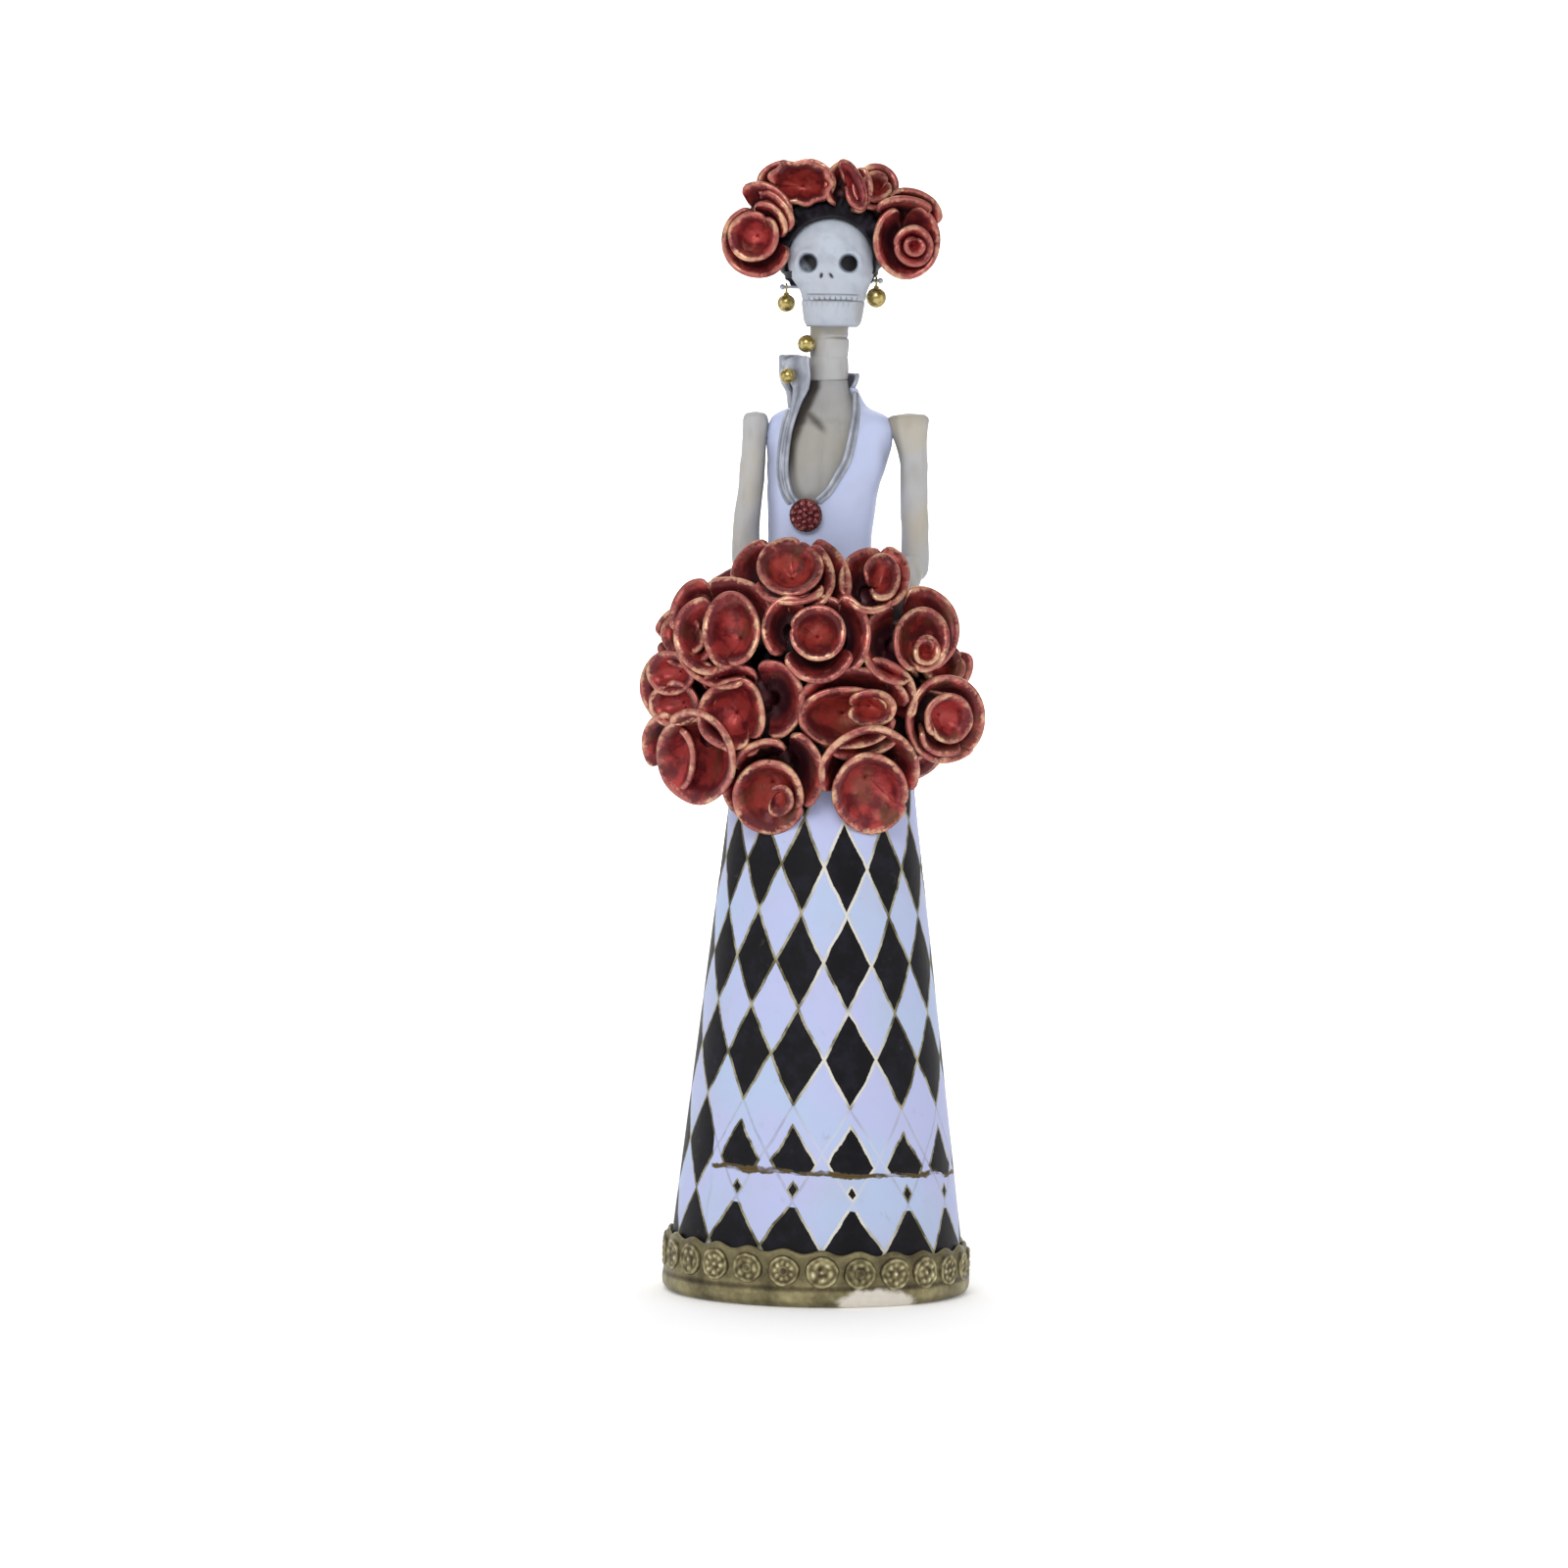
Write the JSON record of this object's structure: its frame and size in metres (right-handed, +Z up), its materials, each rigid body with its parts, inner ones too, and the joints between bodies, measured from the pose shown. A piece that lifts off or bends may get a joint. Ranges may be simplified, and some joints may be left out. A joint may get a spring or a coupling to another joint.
{
  "type": "papier-mache catrina figure",
  "caption": "Standing skeleton lady in a harlequin dress on a round gilded base, holding a rose bouquet, with a rose crown, turning head and swinging earrings.",
  "frame": {"origin": "centre of the base's underside, where the figure stands", "axes": "+Z up along the figure, the figure faces -Y, her left hand is towards +X"},
  "size_m": [0.0412, 0.0387, 0.1398],
  "materials": {
    "base_wood": "bare turned wood",
    "gilded_paper": "papier-mache painted antique olive gold, worn, satin",
    "dress_paper": "papier-mache painted lavender white, varnished",
    "packed_paper": "packed and rolled paper",
    "steel_wire": "drawn steel wire",
    "bone_paper": "papier-mache painted bone grey, satin",
    "skull_paper": "papier-mache painted bluish bone white, satin",
    "hair_paper": "papier-mache painted black, satin",
    "rose_paper": "paste petals painted copper red with dry-brushed metallic edges",
    "bouquet_paper": "papier-mache painted dark plum",
    "crown_wire": "wire wrapped and painted dark red",
    "silver_trim": "raised paste line painted silver grey",
    "brooch_paste": "small plate painted antique gold",
    "brooch_stone": "small red stones, glossy",
    "gold_bead": "bead painted pearly gold, glossy",
    "brass_pin": "thin brass pin"
  },
  "bodies": {
    "figure": {"base_disc": "base_wood", "base_band": "gilded_paper", "base_rosettes": "gilded_paper", "skirt_shell": "dress_paper", "skirt_core": "packed_paper", "armature_wire": "steel_wire", "shoulder_rod": "steel_wire", "torso_core": "bone_paper", "bodice": "dress_paper", "collar": "dress_paper", "lapel_trim": "silver_trim", "brooch_disc": "brooch_paste", "brooch_stones": "brooch_stone", "neck": "bone_paper", "right_upper_arm": "bone_paper", "left_upper_arm": "bone_paper", "right_forearm": "bone_paper", "left_forearm": "bone_paper", "right_hand": "bone_paper", "left_hand": "bone_paper", "neck_pearl": "gold_bead", "collar_pearl": "gold_bead", "bouquet_core": "bouquet_paper", "bouquet_rose_01": "rose_paper", "bouquet_rose_02": "rose_paper", "bouquet_rose_03": "rose_paper", "bouquet_rose_04": "rose_paper", "bouquet_rose_05": "rose_paper", "bouquet_rose_06": "rose_paper", "bouquet_rose_07": "rose_paper", "bouquet_rose_08": "rose_paper", "bouquet_rose_09": "rose_paper", "bouquet_rose_10": "rose_paper", "bouquet_rose_11": "rose_paper", "bouquet_rose_12": "rose_paper", "bouquet_rose_13": "rose_paper", "bouquet_rose_14": "rose_paper", "bouquet_rose_15": "rose_paper", "bouquet_rose_16": "rose_paper"},
    "head": {"skull": "skull_paper", "jaw": "skull_paper", "hair_cap": "hair_paper", "neck_socket": "packed_paper", "crown_band": "crown_wire", "right_ear_pin": "brass_pin", "left_ear_pin": "brass_pin", "crown_rose_01": "rose_paper", "crown_rose_02": "rose_paper", "crown_rose_03": "rose_paper", "crown_rose_04": "rose_paper", "crown_rose_05": "rose_paper", "crown_rose_06": "rose_paper", "crown_rose_07": "rose_paper", "crown_rose_08": "rose_paper", "crown_rose_09": "rose_paper"},
    "right_earring": {"right_earring": "gold_bead"},
    "left_earring": {"left_earring": "gold_bead"}
  },
  "joints": [
    {"name": "head_turn", "type": "hinge", "parent": "figure", "child": "head", "pos_m": [0, 0, 0.121], "axis": [0, 0, 1], "range_deg": [-35, 35]},
    {"name": "right_earring_swing", "type": "hinge", "parent": "head", "child": "right_earring", "pos_m": [-0.00535, 0.0009, 0.12435], "axis": [1, 0, 0], "range_deg": [-30, 30]},
    {"name": "left_earring_swing", "type": "hinge", "parent": "head", "child": "left_earring", "pos_m": [0.00575, 0.0009, 0.1253], "axis": [1, 0, 0], "range_deg": [-30, 30]}
  ]
}
